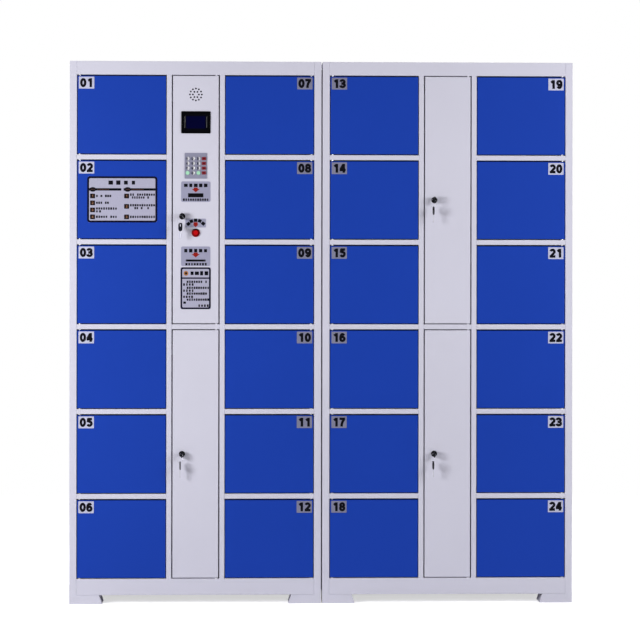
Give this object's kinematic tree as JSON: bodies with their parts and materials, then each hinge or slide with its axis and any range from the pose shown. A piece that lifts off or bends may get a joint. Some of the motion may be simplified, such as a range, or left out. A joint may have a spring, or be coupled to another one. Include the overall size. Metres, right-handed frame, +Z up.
{
  "type": "smart parcel locker",
  "caption": "Free-standing self-service parcel locker: columns of hinged blue steel doors beside narrow service bays, one carrying a keypad, display, code reader and receipt slot.",
  "frame": {"origin": "on the floor, under the middle of the overall width and of the overall depth, keys included", "axes": "+Z up, +X to the right seen from the front, +Y from the doors into the cabinets"},
  "size_m": [1.7, 0.5212, 1.83],
  "materials": {
    "white_paint": "powder coat, semi-gloss",
    "blue_paint": "powder coat, semi-gloss",
    "bright_steel": "satin",
    "grey_metal": "satin",
    "white_nylon": "matt",
    "lock_housing": "zinc plated",
    "dark_housing": "matt",
    "black_plastic": "matt",
    "dark_glass": "gloss",
    "label_plate": "satin, printed",
    "circuit_board": "gloss",
    "red_plastic": "gloss",
    "dark_red_plastic": "gloss"
  },
  "bodies": {
    "cabinet": {"side_panels": "white_paint", "top_panels": "white_paint", "bottom_panels": "white_paint", "back_panels": "white_paint", "partitions": "white_paint", "shelves": "white_paint", "front_frames": "white_paint", "hinge_bushes": "white_nylon", "feet": "white_paint", "joining_bolts": "bright_steel", "electric_locks": "lock_housing", "power_supply": "dark_housing", "control_board": "circuit_board"},
    "control_door": {"control_door": "white_paint", "display_bezel": "grey_metal", "display_screen": "dark_glass", "keypad_housing": "grey_metal", "speaker": "black_plastic", "code_reader": "black_plastic", "receipt_printer": "black_plastic", "button_bezel": "dark_red_plastic", "panel_plates": "label_plate"},
    "lock_core_control": {"lock_core_control": "bright_steel"},
    "lock_core_lower_left": {"lock_core_lower_left": "bright_steel"},
    "lock_core_upper_right": {"lock_core_upper_right": "bright_steel"},
    "lock_core_lower_right": {"lock_core_lower_right": "bright_steel"},
    "spare_keys_control": {"spare_keys_control": "bright_steel"},
    "spare_keys_lower_left": {"spare_keys_lower_left": "bright_steel"},
    "spare_keys_upper_right": {"spare_keys_upper_right": "bright_steel"},
    "spare_keys_lower_right": {"spare_keys_lower_right": "bright_steel"},
    "number_keys": {"number_keys": "bright_steel"},
    "function_keys": {"function_keys": "red_plastic"},
    "red_button": {"red_button": "red_plastic"},
    "door_01": {"door_01": "blue_paint"},
    "door_02": {"door_02": "blue_paint"},
    "service_door_lower_left": {"service_door_lower_left": "white_paint"},
    "service_door_upper_right": {"service_door_upper_right": "white_paint"},
    "service_door_lower_right": {"service_door_lower_right": "white_paint"},
    "door_03": {"door_03": "blue_paint"},
    "door_04": {"door_04": "blue_paint"},
    "door_05": {"door_05": "blue_paint"},
    "door_06": {"door_06": "blue_paint"},
    "door_07": {"door_07": "blue_paint"},
    "door_08": {"door_08": "blue_paint"},
    "door_09": {"door_09": "blue_paint"},
    "door_10": {"door_10": "blue_paint"},
    "door_11": {"door_11": "blue_paint"},
    "door_12": {"door_12": "blue_paint"},
    "door_13": {"door_13": "blue_paint"},
    "door_14": {"door_14": "blue_paint"},
    "door_15": {"door_15": "blue_paint"},
    "door_16": {"door_16": "blue_paint"},
    "door_17": {"door_17": "blue_paint"},
    "door_18": {"door_18": "blue_paint"},
    "door_19": {"door_19": "blue_paint"},
    "door_20": {"door_20": "blue_paint"},
    "door_21": {"door_21": "blue_paint"},
    "door_22": {"door_22": "blue_paint"},
    "door_23": {"door_23": "blue_paint"},
    "door_24": {"door_24": "blue_paint"}
  },
  "joints": [
    {"name": "control_door_hinge", "type": "hinge", "parent": "cabinet", "child": "control_door", "pos_m": [-0.3565, -0.21438, 0.943], "axis": [0, 0, 1], "range_deg": [0, 90]},
    {"name": "lock_turn_control", "type": "hinge", "parent": "control_door", "child": "lock_core_control", "pos_m": [-0.4716, -0.21938, 1.307], "axis": [0, 1, 0], "range_deg": [0, 90]},
    {"name": "lock_turn_lower_left", "type": "hinge", "parent": "service_door_lower_left", "child": "lock_core_lower_left", "pos_m": [-0.4716, -0.21938, 0.5055], "axis": [0, 1, 0], "range_deg": [0, 90]},
    {"name": "lock_turn_upper_right", "type": "hinge", "parent": "service_door_upper_right", "child": "lock_core_upper_right", "pos_m": [0.3804, -0.21938, 1.3635], "axis": [0, 1, 0], "range_deg": [0, 90]},
    {"name": "lock_turn_lower_right", "type": "hinge", "parent": "service_door_lower_right", "child": "lock_core_lower_right", "pos_m": [0.3804, -0.21938, 0.5055], "axis": [0, 1, 0], "range_deg": [0, 90]},
    {"name": "spare_keys_swing_control", "type": "hinge", "parent": "control_door", "child": "spare_keys_control", "pos_m": [-0.4716, -0.21938, 1.307], "axis": [0, 1, 0], "range_deg": [0, 10]},
    {"name": "spare_keys_swing_lower_left", "type": "hinge", "parent": "service_door_lower_left", "child": "spare_keys_lower_left", "pos_m": [-0.4716, -0.21938, 0.5055], "axis": [0, 1, 0], "range_deg": [0, 10]},
    {"name": "spare_keys_swing_upper_right", "type": "hinge", "parent": "service_door_upper_right", "child": "spare_keys_upper_right", "pos_m": [0.3804, -0.21938, 1.3635], "axis": [0, 1, 0], "range_deg": [0, 10]},
    {"name": "spare_keys_swing_lower_right", "type": "hinge", "parent": "service_door_lower_right", "child": "spare_keys_lower_right", "pos_m": [0.3804, -0.21938, 0.5055], "axis": [0, 1, 0], "range_deg": [0, 10]},
    {"name": "number_keys_press", "type": "slide", "parent": "control_door", "child": "number_keys", "axis": [0, 1, 0], "range_m": [0, 0.0015], "stiffness_N_per_m": 400},
    {"name": "function_keys_press", "type": "slide", "parent": "control_door", "child": "function_keys", "axis": [0, 1, 0], "range_m": [0, 0.0015], "stiffness_N_per_m": 400},
    {"name": "red_button_press", "type": "slide", "parent": "control_door", "child": "red_button", "axis": [0, 1, 0], "range_m": [0, 0.004], "stiffness_N_per_m": 500},
    {"name": "door_01_hinge", "type": "hinge", "parent": "cabinet", "child": "door_01", "pos_m": [-0.816, -0.21438, 1.515], "axis": [0, 0, -1], "range_deg": [0, 90]},
    {"name": "door_02_hinge", "type": "hinge", "parent": "cabinet", "child": "door_02", "pos_m": [-0.816, -0.21438, 1.229], "axis": [0, 0, -1], "range_deg": [0, 90]},
    {"name": "service_door_lower_left_hinge", "type": "hinge", "parent": "cabinet", "child": "service_door_lower_left", "pos_m": [-0.3565, -0.21438, 0.085], "axis": [0, 0, 1], "range_deg": [0, 90]},
    {"name": "service_door_upper_right_hinge", "type": "hinge", "parent": "cabinet", "child": "service_door_upper_right", "pos_m": [0.4955, -0.21438, 0.943], "axis": [0, 0, 1], "range_deg": [0, 90]},
    {"name": "service_door_lower_right_hinge", "type": "hinge", "parent": "cabinet", "child": "service_door_lower_right", "pos_m": [0.4955, -0.21438, 0.085], "axis": [0, 0, 1], "range_deg": [0, 90]},
    {"name": "door_03_hinge", "type": "hinge", "parent": "cabinet", "child": "door_03", "pos_m": [-0.816, -0.21438, 0.943], "axis": [0, 0, -1], "range_deg": [0, 90]},
    {"name": "door_04_hinge", "type": "hinge", "parent": "cabinet", "child": "door_04", "pos_m": [-0.816, -0.21438, 0.657], "axis": [0, 0, -1], "range_deg": [0, 90]},
    {"name": "door_05_hinge", "type": "hinge", "parent": "cabinet", "child": "door_05", "pos_m": [-0.816, -0.21438, 0.371], "axis": [0, 0, -1], "range_deg": [0, 90]},
    {"name": "door_06_hinge", "type": "hinge", "parent": "cabinet", "child": "door_06", "pos_m": [-0.816, -0.21438, 0.085], "axis": [0, 0, -1], "range_deg": [0, 90]},
    {"name": "door_07_hinge", "type": "hinge", "parent": "cabinet", "child": "door_07", "pos_m": [-0.036, -0.21438, 1.515], "axis": [0, 0, 1], "range_deg": [0, 90]},
    {"name": "door_08_hinge", "type": "hinge", "parent": "cabinet", "child": "door_08", "pos_m": [-0.036, -0.21438, 1.229], "axis": [0, 0, 1], "range_deg": [0, 90]},
    {"name": "door_09_hinge", "type": "hinge", "parent": "cabinet", "child": "door_09", "pos_m": [-0.036, -0.21438, 0.943], "axis": [0, 0, 1], "range_deg": [0, 90]},
    {"name": "door_10_hinge", "type": "hinge", "parent": "cabinet", "child": "door_10", "pos_m": [-0.036, -0.21438, 0.657], "axis": [0, 0, 1], "range_deg": [0, 90]},
    {"name": "door_11_hinge", "type": "hinge", "parent": "cabinet", "child": "door_11", "pos_m": [-0.036, -0.21438, 0.371], "axis": [0, 0, 1], "range_deg": [0, 90]},
    {"name": "door_12_hinge", "type": "hinge", "parent": "cabinet", "child": "door_12", "pos_m": [-0.036, -0.21438, 0.085], "axis": [0, 0, 1], "range_deg": [0, 90]},
    {"name": "door_13_hinge", "type": "hinge", "parent": "cabinet", "child": "door_13", "pos_m": [0.036, -0.21438, 1.515], "axis": [0, 0, -1], "range_deg": [0, 90]},
    {"name": "door_14_hinge", "type": "hinge", "parent": "cabinet", "child": "door_14", "pos_m": [0.036, -0.21438, 1.229], "axis": [0, 0, -1], "range_deg": [0, 90]},
    {"name": "door_15_hinge", "type": "hinge", "parent": "cabinet", "child": "door_15", "pos_m": [0.036, -0.21438, 0.943], "axis": [0, 0, -1], "range_deg": [0, 90]},
    {"name": "door_16_hinge", "type": "hinge", "parent": "cabinet", "child": "door_16", "pos_m": [0.036, -0.21438, 0.657], "axis": [0, 0, -1], "range_deg": [0, 90]},
    {"name": "door_17_hinge", "type": "hinge", "parent": "cabinet", "child": "door_17", "pos_m": [0.036, -0.21438, 0.371], "axis": [0, 0, -1], "range_deg": [0, 90]},
    {"name": "door_18_hinge", "type": "hinge", "parent": "cabinet", "child": "door_18", "pos_m": [0.036, -0.21438, 0.085], "axis": [0, 0, -1], "range_deg": [0, 90]},
    {"name": "door_19_hinge", "type": "hinge", "parent": "cabinet", "child": "door_19", "pos_m": [0.816, -0.21438, 1.515], "axis": [0, 0, 1], "range_deg": [0, 90]},
    {"name": "door_20_hinge", "type": "hinge", "parent": "cabinet", "child": "door_20", "pos_m": [0.816, -0.21438, 1.229], "axis": [0, 0, 1], "range_deg": [0, 90]},
    {"name": "door_21_hinge", "type": "hinge", "parent": "cabinet", "child": "door_21", "pos_m": [0.816, -0.21438, 0.943], "axis": [0, 0, 1], "range_deg": [0, 90]},
    {"name": "door_22_hinge", "type": "hinge", "parent": "cabinet", "child": "door_22", "pos_m": [0.816, -0.21438, 0.657], "axis": [0, 0, 1], "range_deg": [0, 90]},
    {"name": "door_23_hinge", "type": "hinge", "parent": "cabinet", "child": "door_23", "pos_m": [0.816, -0.21438, 0.371], "axis": [0, 0, 1], "range_deg": [0, 90]},
    {"name": "door_24_hinge", "type": "hinge", "parent": "cabinet", "child": "door_24", "pos_m": [0.816, -0.21438, 0.085], "axis": [0, 0, 1], "range_deg": [0, 90]}
  ]
}
